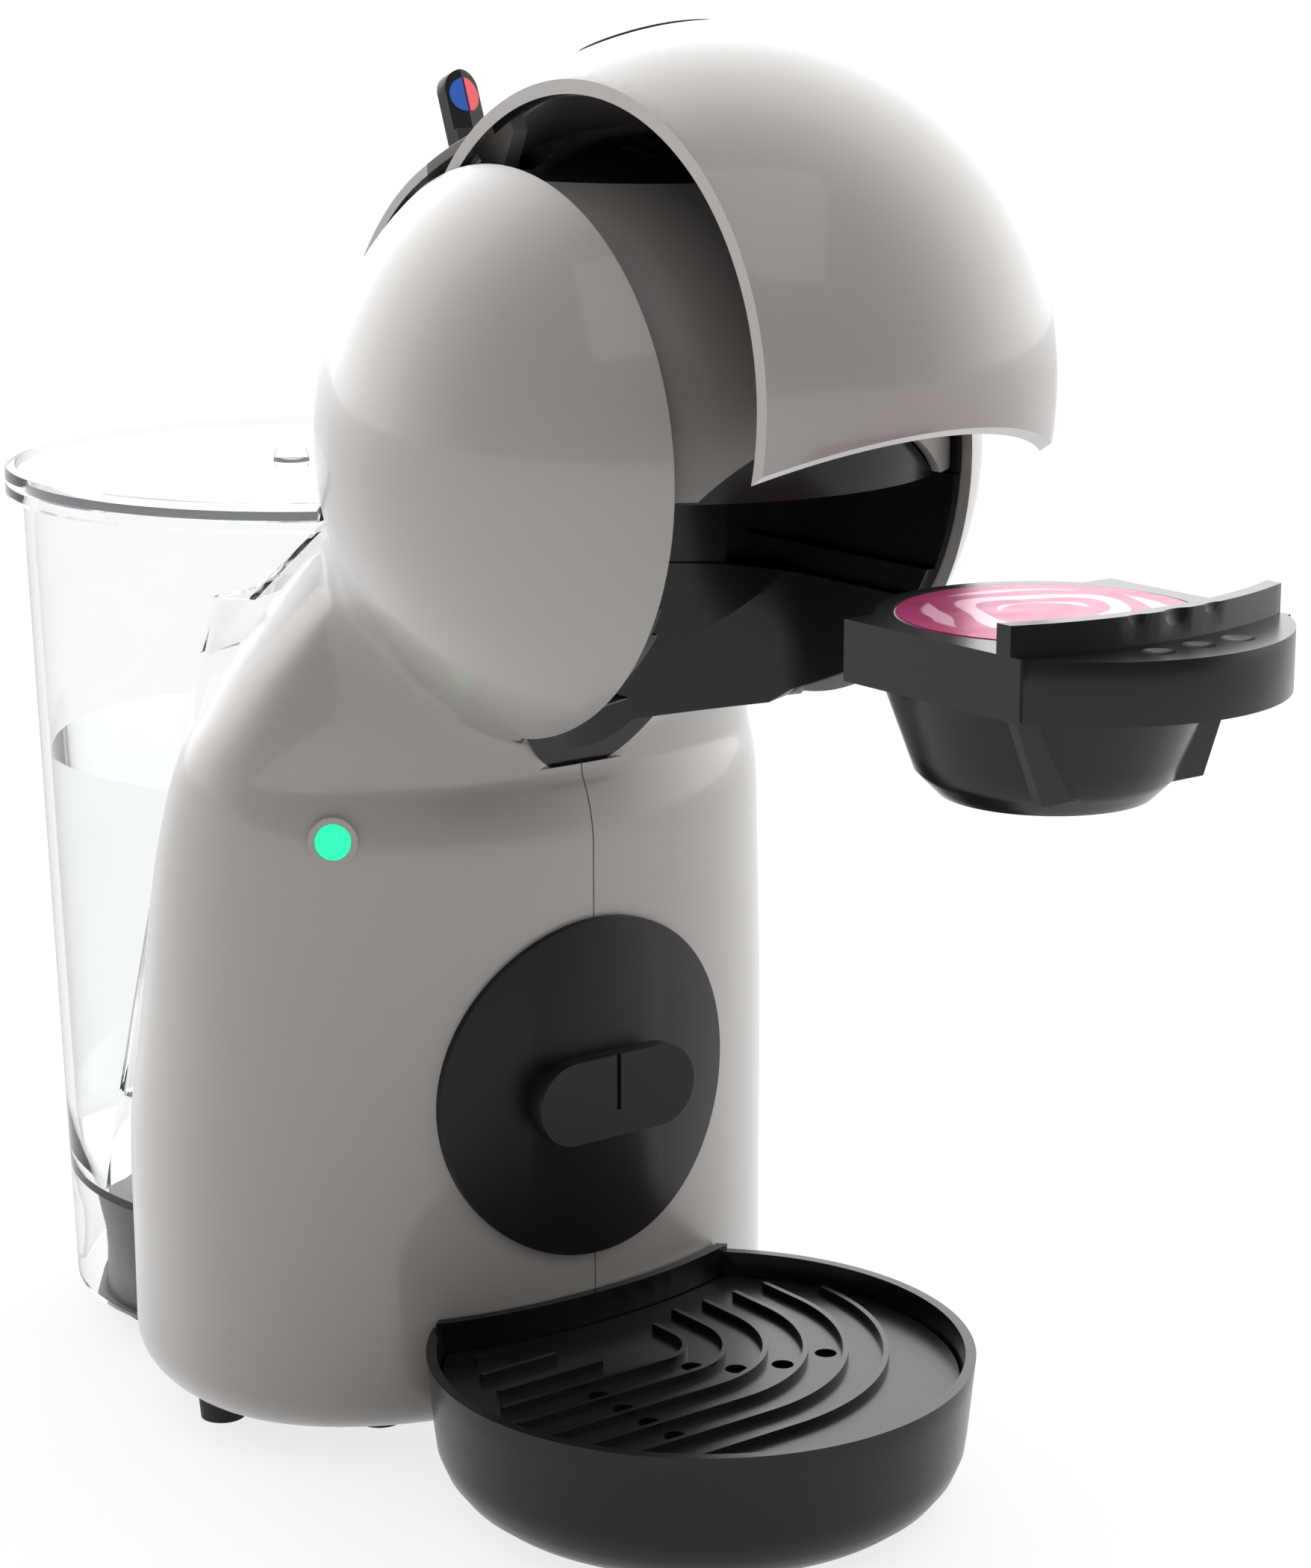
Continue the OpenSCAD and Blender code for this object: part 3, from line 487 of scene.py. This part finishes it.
class Finish(Enum):
    """Every finish on the machine."""

    # With a roughness of 0.3, faint outlines showed on the shell in denoised renders.
    SHELL = Plastic(
        "shell_gloss", (0.30, 0.277, 0.26), 0.345, 0.5, 0.000004,
        drift=0.01, wear=0.05, edge=0.7,
    )
    BLACK = Plastic(
        "gloss_black", (0.006, 0.006, 0.0062), 0.24, 0.0, 0.000006, dust=0.002, shine=0.32
    )
    MATTE = Plastic(
        "matte_black", (0.009, 0.009, 0.0093), 0.4, 0.0, 0.00004, 1600.0, shine=0.25
    )
    # The front panel is shell-coloured. This is the shell colour darkened to about 0.63:
    # painted shade for its recessed place between the side discs.
    PAINTED_SHADE_PANEL = Plastic("panel_grey", (0.19, 0.175, 0.165), 0.4, 0.0, 0.00003)
    DARK = Plastic("dark_grey", (0.04, 0.04, 0.043), 0.45, 0.0, 0.00006)
    TANK = Clear("clear_tank", (0.975, 0.98, 0.982), 1.14)
    WATER = Clear("water", (0.965, 0.975, 0.98), 1.06, ripple=0.0)
    STEEL = Metal("steel", (0.62, 0.62, 0.64))
    ALUMINIUM = Metal("aluminium", (0.78, 0.78, 0.8), 0.4)
    BRASS = Metal("brass", (0.72, 0.52, 0.26))
    RUBBER = Plastic("rubber", (0.018, 0.018, 0.018), 0.7, 0.0, 0.0001, 1200.0)
    HOSE = Plastic("hose_clear", (0.6, 0.6, 0.57), 0.5)
    POD = Plastic("pod_white", (0.62, 0.62, 0.6), 0.45)
    BLUE = Plastic("mark_blue", (0.023, 0.133, 0.6), 0.4)
    RED = Plastic("mark_red", (0.85, 0.05, 0.07), 0.4)
    GREEN = Lit("button_green", (0.0, 1.0, 0.35), 1.0)
    BOARD = Plastic("board_green", (0.02, 0.09, 0.04), 0.45)
    CERAMIC = Plastic("ceramic", (0.6, 0.58, 0.52), 0.55)
    PINK = Foil(
        "foil_pink", (0.42, 0.008, 0.13), (0.85, 0.5, 0.62), (0.0, -0.1256, 0.19), 0.026
    )


# ---------------------------------------------------------------- geometry help
def new_piece(name: str, mesh: bmesh.types.BMesh) -> bpy.types.Object:
    """Turns a bmesh into an object with smooth faces and sharp corners.

    Args:
        name: Name of the piece.
        mesh: The bmesh, which is freed.

    Returns:
        The object.
    """
    data = bpy.data.meshes.new(name)
    mesh.to_mesh(data)
    mesh.free()
    data.shade_smooth()
    data.set_sharp_from_angle(angle=SHARP_ANGLE)
    made = bpy.data.objects.new(name, data)
    bpy.context.scene.collection.objects.link(made)
    return made


def prism(outline: Sequence[tuple[float, float]], x0: float, x1: float) -> bmesh.types.BMesh:
    """Makes a straight prism along X.

    Args:
        outline: Corners (y, z) in millimetres.
        x0: Start in millimetres.
        x1: End in millimetres.

    Returns:
        The prism.
    """
    made = bmesh.new()
    corners = [made.verts.new((x0 * MM, y * MM, z * MM)) for y, z in outline]
    face = made.faces.new(corners)
    grown = bmesh.ops.extrude_face_region(made, geom=[face])
    moved = [v for v in grown["geom"] if isinstance(v, bmesh.types.BMVert)]
    bmesh.ops.translate(made, verts=moved, vec=((x1 - x0) * MM, 0, 0))
    bmesh.ops.recalc_face_normals(made, faces=made.faces)
    return made


def cone(
    r1: float, r2: float, base: Sequence[float], height: float, matrix: Matrix | None = None
) -> bmesh.types.BMesh:
    """Makes a capped cone along Z.

    Args:
        r1: Lower radius in millimetres.
        r2: Upper radius in millimetres.
        base: Centre of the lower end in millimetres.
        height: Height in millimetres.
        matrix: Turn about the base.

    Returns:
        The cone.
    """
    made = bmesh.new()
    lift = Matrix.Translation((0, 0, height * MM / 2))
    place = Matrix.Translation(Vector(base) * MM)
    bmesh.ops.create_cone(
        made, cap_ends=True, segments=96, radius1=r1 * MM, radius2=r2 * MM,
        depth=height * MM, matrix=place @ (matrix or Matrix.Identity(4)) @ lift,
    )
    return made


def cut(piece: bpy.types.Object, cutters: Iterable[bmesh.types.BMesh]) -> None:
    """Cuts solids out of a piece for good.

    Args:
        piece: The piece that is cut.
        cutters: The solids.
    """
    for number, mesh in enumerate(cutters):
        tool = new_piece(f"cutter_{number}", mesh)
        change = piece.modifiers.new("cut", "BOOLEAN")
        change.object = tool
        change.solver = "EXACT"
        graph = bpy.context.evaluated_depsgraph_get()
        result = bpy.data.meshes.new_from_object(piece.evaluated_get(graph))
        piece.modifiers.clear()
        piece.data = result
        bpy.data.objects.remove(tool)
    piece.data.shade_smooth()
    piece.data.set_sharp_from_angle(angle=SHARP_ANGLE)


def cubic(rows: Sequence[Sequence[float]], z: float, k: int) -> float:
    """Follows a table smoothly, by cubics through its rows.

    Args:
        rows: Rows that start with the height.
        z: The height.
        k: Column that is read.

    Returns:
        The value at that height.
    """
    if z <= rows[0][0]:
        return rows[0][k]
    if z >= rows[-1][0]:
        return rows[-1][k]
    i = max(j for j in range(len(rows) - 1) if rows[j][0] <= z)

    def slope(j: int) -> float:
        a, b = max(j - 1, 0), min(j + 1, len(rows) - 1)
        return (rows[b][k] - rows[a][k]) / (rows[b][0] - rows[a][0])

    h = rows[i + 1][0] - rows[i][0]
    t = (z - rows[i][0]) / h
    return (
        (2 * t**3 - 3 * t**2 + 1) * rows[i][k]
        + (t**3 - 2 * t**2 + t) * h * slope(i)
        + (3 * t**2 - 2 * t**3) * rows[i + 1][k]
        + (t**3 - t**2) * h * slope(i + 1)
    )


@dataclass
class Housing:
    """The two shell halves: a tapered body that flows into the round head. Millimetres."""

    head: Vector = field(default_factory=lambda: Vector(HEAD_CENTRE))
    head_r: float = 63.0
    front: float = 2.25
    foot: float = 5.5
    edge: float = 12.0
    wall: float = 2.5
    power: float = 2.2
    blend: float = 7.0
    seam: float = 0.14
    inner_x: float = 34.6
    rim: float = 140.2
    chest_z: float = 124.0
    chest_height: float = 16.0
    chest_depth: float = 4.75
    far: float = 150.0
    tilt: float = 42.0
    around: int = 72
    neck_rings: int = 52
    crown_rings: int = 34
    rows: tuple[tuple[float, float, float, float], ...] = (
        (5, 70.4, 51.75, 106.5),
        (32, 70.4, 51.75, 106.5),
        (60, 70.4, 51.75, 106.4),
        (83, 69.5, 50.0, 99.75),
        (112, 68.0, 48.75, 92.0),
        (131, 66.5, 46.75, 84.0),
        (142, 64.4, 44.75, 78.6),
        (150, 61.0, 40.0, 76.4),
        (160, 56.0, 34.75, 74.4),
        (168, 51.5, 28.75, 71.5),
        (176, 48.0, 21.0, 66.0),
        (182, 46.5, 13.0, 59.4),
        (190, 44.5, 3.0, 50.5),
        (200, 40.0, -8.0, 40.5),
        (207, 32.0, -15.5, 20.0),
    )

    def inside(self, p: Vector) -> float:
        """Tells how far a point lies outside the smooth union of body and head.

        Args:
            p: The point.

        Returns:
            About its distance from the skin, below 0 inside.
        """
        ball = (p - self.head).length - self.head_r
        top = self.rows[-1][0]
        z = min(max(p.z, self.foot), top)
        low = max(self.edge + self.foot - z, 0.0)
        shrink = self.edge - math.sqrt(self.edge**2 - low**2)
        c = cubic(self.rows, z, 2)
        a = cubic(self.rows, z, 1) - shrink
        back = cubic(self.rows, z, 3)
        rise = min(max(z - self.chest_z, 0.0) / self.chest_height, 0.9)
        front = self.front + self.chest_depth * rise**2
        b = (back - c if p.y > c else max(c - front, 20.0)) - shrink
        q = (abs(p.x / a) ** self.power + abs((p.y - c) / b) ** self.power) ** (1 / self.power)
        reach = math.hypot(p.x, p.y - c)
        body = reach * (1 - 1 / max(q, 1e-3)) + max(p.z - top, 0.0)
        h = max(self.blend - abs(ball - body), 0.0) / self.blend
        return min(ball, body) - h * h * self.blend / 4

    def exit(self, start: Vector, way: Vector) -> Vector:
        """Finds where a ray leaves the skin.

        Args:
            start: A point inside.
            way: Unit direction.

        Returns:
            The point on the skin.
        """
        reach = 2.0
        while reach < self.far and self.inside(start + way * reach) < 0:
            reach += 2.0
        low, high = reach - 2.0, reach
        for _ in range(22):
            middle = (low + high) / 2
            if self.inside(start + way * middle) < 0:
                low = middle
            else:
                high = middle
        return start + way * low

    def rings(self) -> list[tuple[Vector, float, float]]:
        """Lists the rings from the foot to the crown.

        Returns:
            For each ring its centre, its tilt and the lift of its rays, in degrees.
        """
        made = []
        low = [self.foot + rise for rise in (0, 0.15, 0.5, 1.1, 2, 3.2, 4.8, 7, 9.5, 12.5)]
        heights = low + [22 + 4.9 * i for i in range(21)]
        for z in heights:
            made.append((Vector((0, cubic(self.rows, z, 2), z)), 0.0, 0.0))
        start = made[-1][0]
        turn = Vector((0, 42, 168))
        for i in range(1, self.neck_rings + 1):
            s = i / self.neck_rings
            place = start * (1 - s) ** 2 + turn * (2 * s * (1 - s)) + self.head * s**2
            made.append((place, self.tilt * s * s * (3 - 2 * s), 0.0))
        for i in range(1, self.crown_rings):
            made.append((self.head.copy(), self.tilt, 90.0 * i / self.crown_rings))
        return made

    def skin(self) -> bmesh.types.BMesh:
        """Builds one half of the skin, on the +X side.

        Returns:
            The open surface.
        """
        rings = self.rings()
        made = bmesh.new()
        bmesh.ops.create_grid(
            made, x_segments=self.around, y_segments=len(rings) - 1, size=0.5
        )
        for v in made.verts:
            place, tilt, lift = rings[round((v.co.y + 0.5) * (len(rings) - 1))]
            turn = Matrix.Rotation(math.radians(tilt), 3, "X")
            t = math.pi * round((v.co.x + 0.5) * self.around) / self.around
            up = math.radians(lift)
            way = Vector((
                math.sin(t) * math.cos(up), -math.cos(t) * math.cos(up), math.sin(up)
            ))
            v.co = self.exit(place, turn @ way) * MM
            v.co.x = max(v.co.x, self.seam * MM)
        bmesh.ops.recalc_face_normals(made, faces=made.faces)
        if max(made.faces, key=lambda f: f.calc_center_median().x).normal.x < 0:
            bmesh.ops.reverse_faces(made, faces=made.faces)
        return made

    def cutters(self) -> list[bmesh.types.BMesh]:
        """Makes the solids that open the head.

        Returns:
            The alcove, the chin and the slot of the hood.
        """
        x = self.inner_x
        chin = [(-20.75, 118), (-20.75, 203.6), (-110, 203.6), (-110, 118)]
        top = [(-110, 202.5), (11, 202.5), (36, 222.3), (90, 222.3), (90, 320), (-110, 320)]
        alcove = cone(36.35, 31.8, (0, -28.5, self.rim), 179.7 - self.rim)
        return [prism(chin, -x, x), prism(top, -x, x), alcove]

    def build(self, side: int) -> bpy.types.Object:
        """Builds one shell half.

        Args:
            side: 1 for the right half, -1 for the left.

        Returns:
            The shell half.
        """
        name = "right" if side > 0 else "left"
        made = self.skin()
        if side < 0:
            bmesh.ops.scale(made, verts=made.verts, vec=(-1, 1, 1))
            bmesh.ops.reverse_faces(made, faces=made.faces)
        piece = new_piece(f"{name}_shell_skin", made)
        thick = piece.modifiers.new("wall", "SOLIDIFY")
        thick.thickness = self.wall * MM
        thick.offset = -1.0
        thick.use_even_offset = True
        cut(piece, self.cutters())
        piece.data.materials.clear()
        piece.data.materials.append(MATERIALS[Finish.SHELL])
        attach(piece, "machine")
        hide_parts(f"{name}_shell")
        return piece


MATERIALS: dict[Finish, bpy.types.Material] = {}

NODE_FINISH: dict[str, Finish] = {
    "left_shell": Finish.SHELL, "right_shell": Finish.SHELL, "rear_cover": Finish.SHELL,
    "hood_shell": Finish.SHELL, "hood_badge": Finish.SHELL, "base_plate": Finish.MATTE,
    "feet": Finish.RUBBER, "base_screws": Finish.STEEL, "tank_seat": Finish.DARK,
    "tank_valve": Finish.MATTE, "front_disc": Finish.MATTE, "alcove_liner": Finish.BLACK,
    "left_inner_wall": Finish.BLACK, "right_inner_wall": Finish.BLACK,
    "front_panel": Finish.PAINTED_SHADE_PANEL, "top_deck": Finish.BLACK, "jaw": Finish.BLACK,
    "frame": Finish.MATTE, "hood_liner": Finish.BLACK, "hinge_pin": Finish.STEEL,
    "injector": Finish.BLACK, "injector_needle": Finish.STEEL,
    "injector_seal": Finish.RUBBER, "holder": Finish.BLACK, "pod_cup": Finish.POD,
    "pod_foil": Finish.PINK, "drip_tray": Finish.BLACK, "drip_grid": Finish.BLACK,
    "tank": Finish.TANK, "tank_lid": Finish.TANK, "lever": Finish.MATTE,
    "lever_mark_cold": Finish.BLUE, "lever_mark_hot": Finish.RED,
    "lever_shaft": Finish.STEEL, "selector_valve": Finish.BRASS, "pump": Finish.STEEL,
    "pump_mounts": Finish.RUBBER, "heater": Finish.ALUMINIUM,
    "heater_bracket": Finish.STEEL, "heater_fuse": Finish.CERAMIC,
    "cold_hose": Finish.HOSE, "tank_hose": Finish.HOSE, "hot_hose": Finish.HOSE,
    "control_board": Finish.BOARD, "power_switch": Finish.MATTE,
    "power_button": Finish.GREEN, "button_ring": Finish.SHELL,
    "cord_inlet": Finish.RUBBER,
}


@dataclass
class Studio:
    """Camera, light, floor and render settings. Metres and radians."""

    eye: tuple[float, float, float] = (-0.421139, -0.563848, 0.306376)
    down: float = 0.236
    heading: float = -0.657
    lens_mm: float = 84.52
    sensor_mm: float = 36.0
    viewer: tuple[float, float, float] = (-0.6, -0.78, 0.15)
    samples: int = 96
    width: int = 1756
    height: int = 2100

    def camera(self) -> None:
        """Places the camera that matches the view."""
        data = bpy.data.cameras.new("camera")
        data.lens = self.lens_mm
        data.sensor_width = self.sensor_mm
        data.clip_start = 0.01
        data.clip_end = 20.0
        eye = bpy.data.objects.new("camera", data)
        eye.location = self.eye
        eye.rotation_euler = (math.pi / 2 - self.down, 0.0, self.heading)
        bpy.context.scene.collection.objects.link(eye)
        bpy.context.scene.camera = eye

    def lamp(
        self, name: str, place: Sequence[float], aim: Sequence[float],
        size: tuple[float, float], power: float,
    ) -> None:
        """Adds a soft box.

        Args:
            name: Name of the light.
            place: Where it stands, in metres.
            aim: The point that it faces.
            size: Width and height in metres.
            power: Power in watts.
        """
        data = bpy.data.lights.new(name, "AREA")
        data.shape = "RECTANGLE"
        data.size, data.size_y = size
        data.energy = power
        lamp = bpy.data.objects.new(name, data)
        lamp.location = place
        way = Vector(aim) - Vector(place)
        lamp.rotation_euler = way.to_track_quat("-Z", "Y").to_euler()
        bpy.context.scene.collection.objects.link(lamp)

    def world(self) -> None:
        """Builds a white room that is darker on the side of the viewer."""
        world = bpy.data.worlds.new("room")
        bpy.context.scene.world = world
        world.use_nodes = True
        g = Graph(world.node_tree)
        way = g.node("ShaderNodeTexCoord", output="Generated")
        side = g.node(
            "ShaderNodeVectorMath", {"operation": "DOT_PRODUCT"},
            {0: way, 1: self.viewer}, "Value",
        )
        level = g.mix(side.step(-0.3, 0.6), rgba(WHITE, 2.4), rgba(WHITE, 0.2))
        seen = g.node("ShaderNodeLightPath", output="Is Camera Ray")
        colour = g.mix(seen, level, rgba(WHITE))
        back = g.node("ShaderNodeBackground", {}, {"Color": colour, "Strength": 1.0})
        g.node("ShaderNodeOutputWorld", {}, {"Surface": back})

    def floor(self) -> None:
        """Lays a white floor that keeps the contact shadow."""
        mesh = bmesh.new()
        bmesh.ops.create_grid(mesh, x_segments=1, y_segments=1, size=60.0)
        floor = new_piece("floor", mesh)
        material, g = blank("floor")
        paint = g.node(
            "ShaderNodeBsdfDiffuse", {}, {"Color": rgba((0.9, 0.9, 0.9))}
        )
        glow = g.node("ShaderNodeEmission", {}, {"Color": rgba(WHITE), "Strength": 1.0})
        seen = g.node("ShaderNodeLightPath", output="Is Camera Ray")
        glossy = g.node("ShaderNodeLightPath", output="Is Glossy Ray")
        through = g.node("ShaderNodeLightPath", output="Is Transmission Ray")
        share = (seen * 0.80 + glossy * 0.6 + through * 0.80).clamp()
        g.surface(g.node("ShaderNodeMixShader", {}, {0: share, 1: paint, 2: glow}))
        floor.data.materials.append(material)

    def build(self) -> None:
        """Sets the whole studio up."""
        scene = bpy.context.scene
        self.camera()
        self.world()
        self.floor()
        self.lamp("top", (-0.5, -0.9, 1.6), (0, 0, 0.15), (1.6, 1.2), 6.0)
        scene.render.engine = "CYCLES"
        scene.cycles.samples = self.samples
        scene.cycles.use_denoising = True
        scene.cycles.max_bounces = 12
        scene.cycles.transmission_bounces = 10
        scene.cycles.transparent_max_bounces = 12
        scene.cycles.seed = 1
        scene.render.resolution_x = self.width
        scene.render.resolution_y = self.height
        scene.view_settings.view_transform = "Standard"


@dataclass
class Tank:
    """The water in the tank. Millimetres and degrees."""

    axis_y: float = 103.25
    floor_z: float = 35.3
    level_z: float = 128.7
    foot_z: float = 9.0
    r_foot: float = 54.0
    slope: float = 5.7 / 181.0
    gap: float = 0.1
    back_r: float = 102.5
    back_wall: float = 2.2
    lean: float = 17.2

    def water(self) -> bpy.types.Object:
        """Builds the water.

        Returns:
            The water.
        """
        low = self.r_foot + self.slope * (self.floor_z - self.foot_z) - self.gap
        high = self.r_foot + self.slope * (self.level_z - self.foot_z) - self.gap
        made = cone(low, high, (0, self.axis_y, self.floor_z), self.level_z - self.floor_z)
        piece = new_piece("water", made)
        clear_r = self.back_r + self.back_wall
        lower = cone(clear_r, clear_r, (0, 4.75, -1), 63)
        lean = math.radians(self.lean)
        tilt = Matrix.Rotation(lean, 4, "X")
        shift = tilt @ Vector((0, 0, -80))
        foot = Vector((0, 111.0 - self.back_r / math.cos(lean), 60)) + shift
        upper = cone(clear_r, clear_r, foot, 240, tilt)
        cut(piece, [lower, upper])
        piece.data.materials.clear()
        piece.data.materials.append(MATERIALS[Finish.WATER])
        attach(piece, "tank")
        return piece


ROUNDED: dict[str, float] = {
    "hood_shell": 0.5, "rear_cover": 0.3, "holder": 0.5, "drip_tray": 0.5,
    "front_disc": 0.35, "lever": 0.3, "front_panel": 0.3, "tank": 0.3,
}


def soften(piece: bpy.types.Object, width: float) -> None:
    """Rounds the sharp edges of a piece.

    Args:
        piece: The piece.
        width: Width of the rounding in millimetres.
    """
    weld = piece.modifiers.new("weld", "WELD")
    weld.merge_threshold = 0.00001
    bevel = piece.modifiers.new("edges", "BEVEL")
    bevel.width = width * MM
    bevel.segments = 2
    bevel.limit_method = "ANGLE"
    bevel.angle_limit = math.radians(42)
    bevel.use_clamp_overlap = True
    bevel.harden_normals = False


@dataclass
class Badge:
    """The dark line round the bare oval on the hood. Millimetres and degrees."""

    head: tuple[float, float, float] = HEAD_CENTRE
    hinge: tuple[float, float, float] = (0.0, 0.0, 254.65)
    radius: float = 63.05
    half_width: float = 17.1
    half_depth: float = 11.6
    tilt: float = 14.0
    opened: float = 31.4
    line_r: float = 0.32
    count: int = 96

    def build(self) -> bpy.types.Object:
        """Builds the line.

        Returns:
            The line.
        """
        data = bpy.data.curves.new("badge_line", "CURVE")
        data.dimensions = "3D"
        data.bevel_depth = self.line_r * MM
        data.bevel_resolution = 3
        spline = data.splines.new("POLY")
        spline.points.add(self.count - 1)
        lean = Matrix.Rotation(math.radians(self.tilt), 3, "X")
        swing = Matrix.Rotation(math.radians(-self.opened), 3, "X")
        hinge = Vector(self.hinge)
        for i, point in enumerate(spline.points):
            turn = 2 * math.pi * i / self.count
            x = self.half_width * math.cos(turn)
            y = self.half_depth * math.sin(turn)
            flat = Vector((x, y, math.sqrt(self.radius**2 - x**2 - y**2)))
            place = swing @ (Vector(self.head) + lean @ flat - hinge) + hinge
            point.co = (*(place * MM), 1.0)
        spline.use_cyclic_u = True
        piece = bpy.data.objects.new("badge_line", data)
        bpy.context.scene.collection.objects.link(piece)
        data.materials.append(MATERIALS[Finish.MATTE])
        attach(piece, "hood")
        return piece


def dress(nodes: dict[str, bpy.types.Object]) -> None:
    """Gives every CAD node its finish.

    Args:
        nodes: The CAD nodes by name.
    """
    for name, finish in NODE_FINISH.items():
        data = nodes[name].data
        data.materials.clear()
        data.materials.append(MATERIALS[finish])
        log.info("node %s: %s", name, finish.value.name)
    for name, width in ROUNDED.items():
        soften(nodes[name], width)


def main() -> None:
    """Builds the scene in order."""
    logging.basicConfig(level=logging.INFO, format="%(name)s: %(message)s")
    for thing in list(bpy.data.objects):
        bpy.data.objects.remove(thing)
    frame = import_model()
    for finish in Finish:
        MATERIALS[finish] = finish.value.build()
    dress(frame["nodes"])
    housing = Housing()
    for side in (-1, 1):
        log.info("piece %s", housing.build(side).name)
    log.info("piece %s", Tank().water().name)
    log.info("piece %s", Badge().build().name)
    Studio().build()


if __name__ == "__main__":
    main()
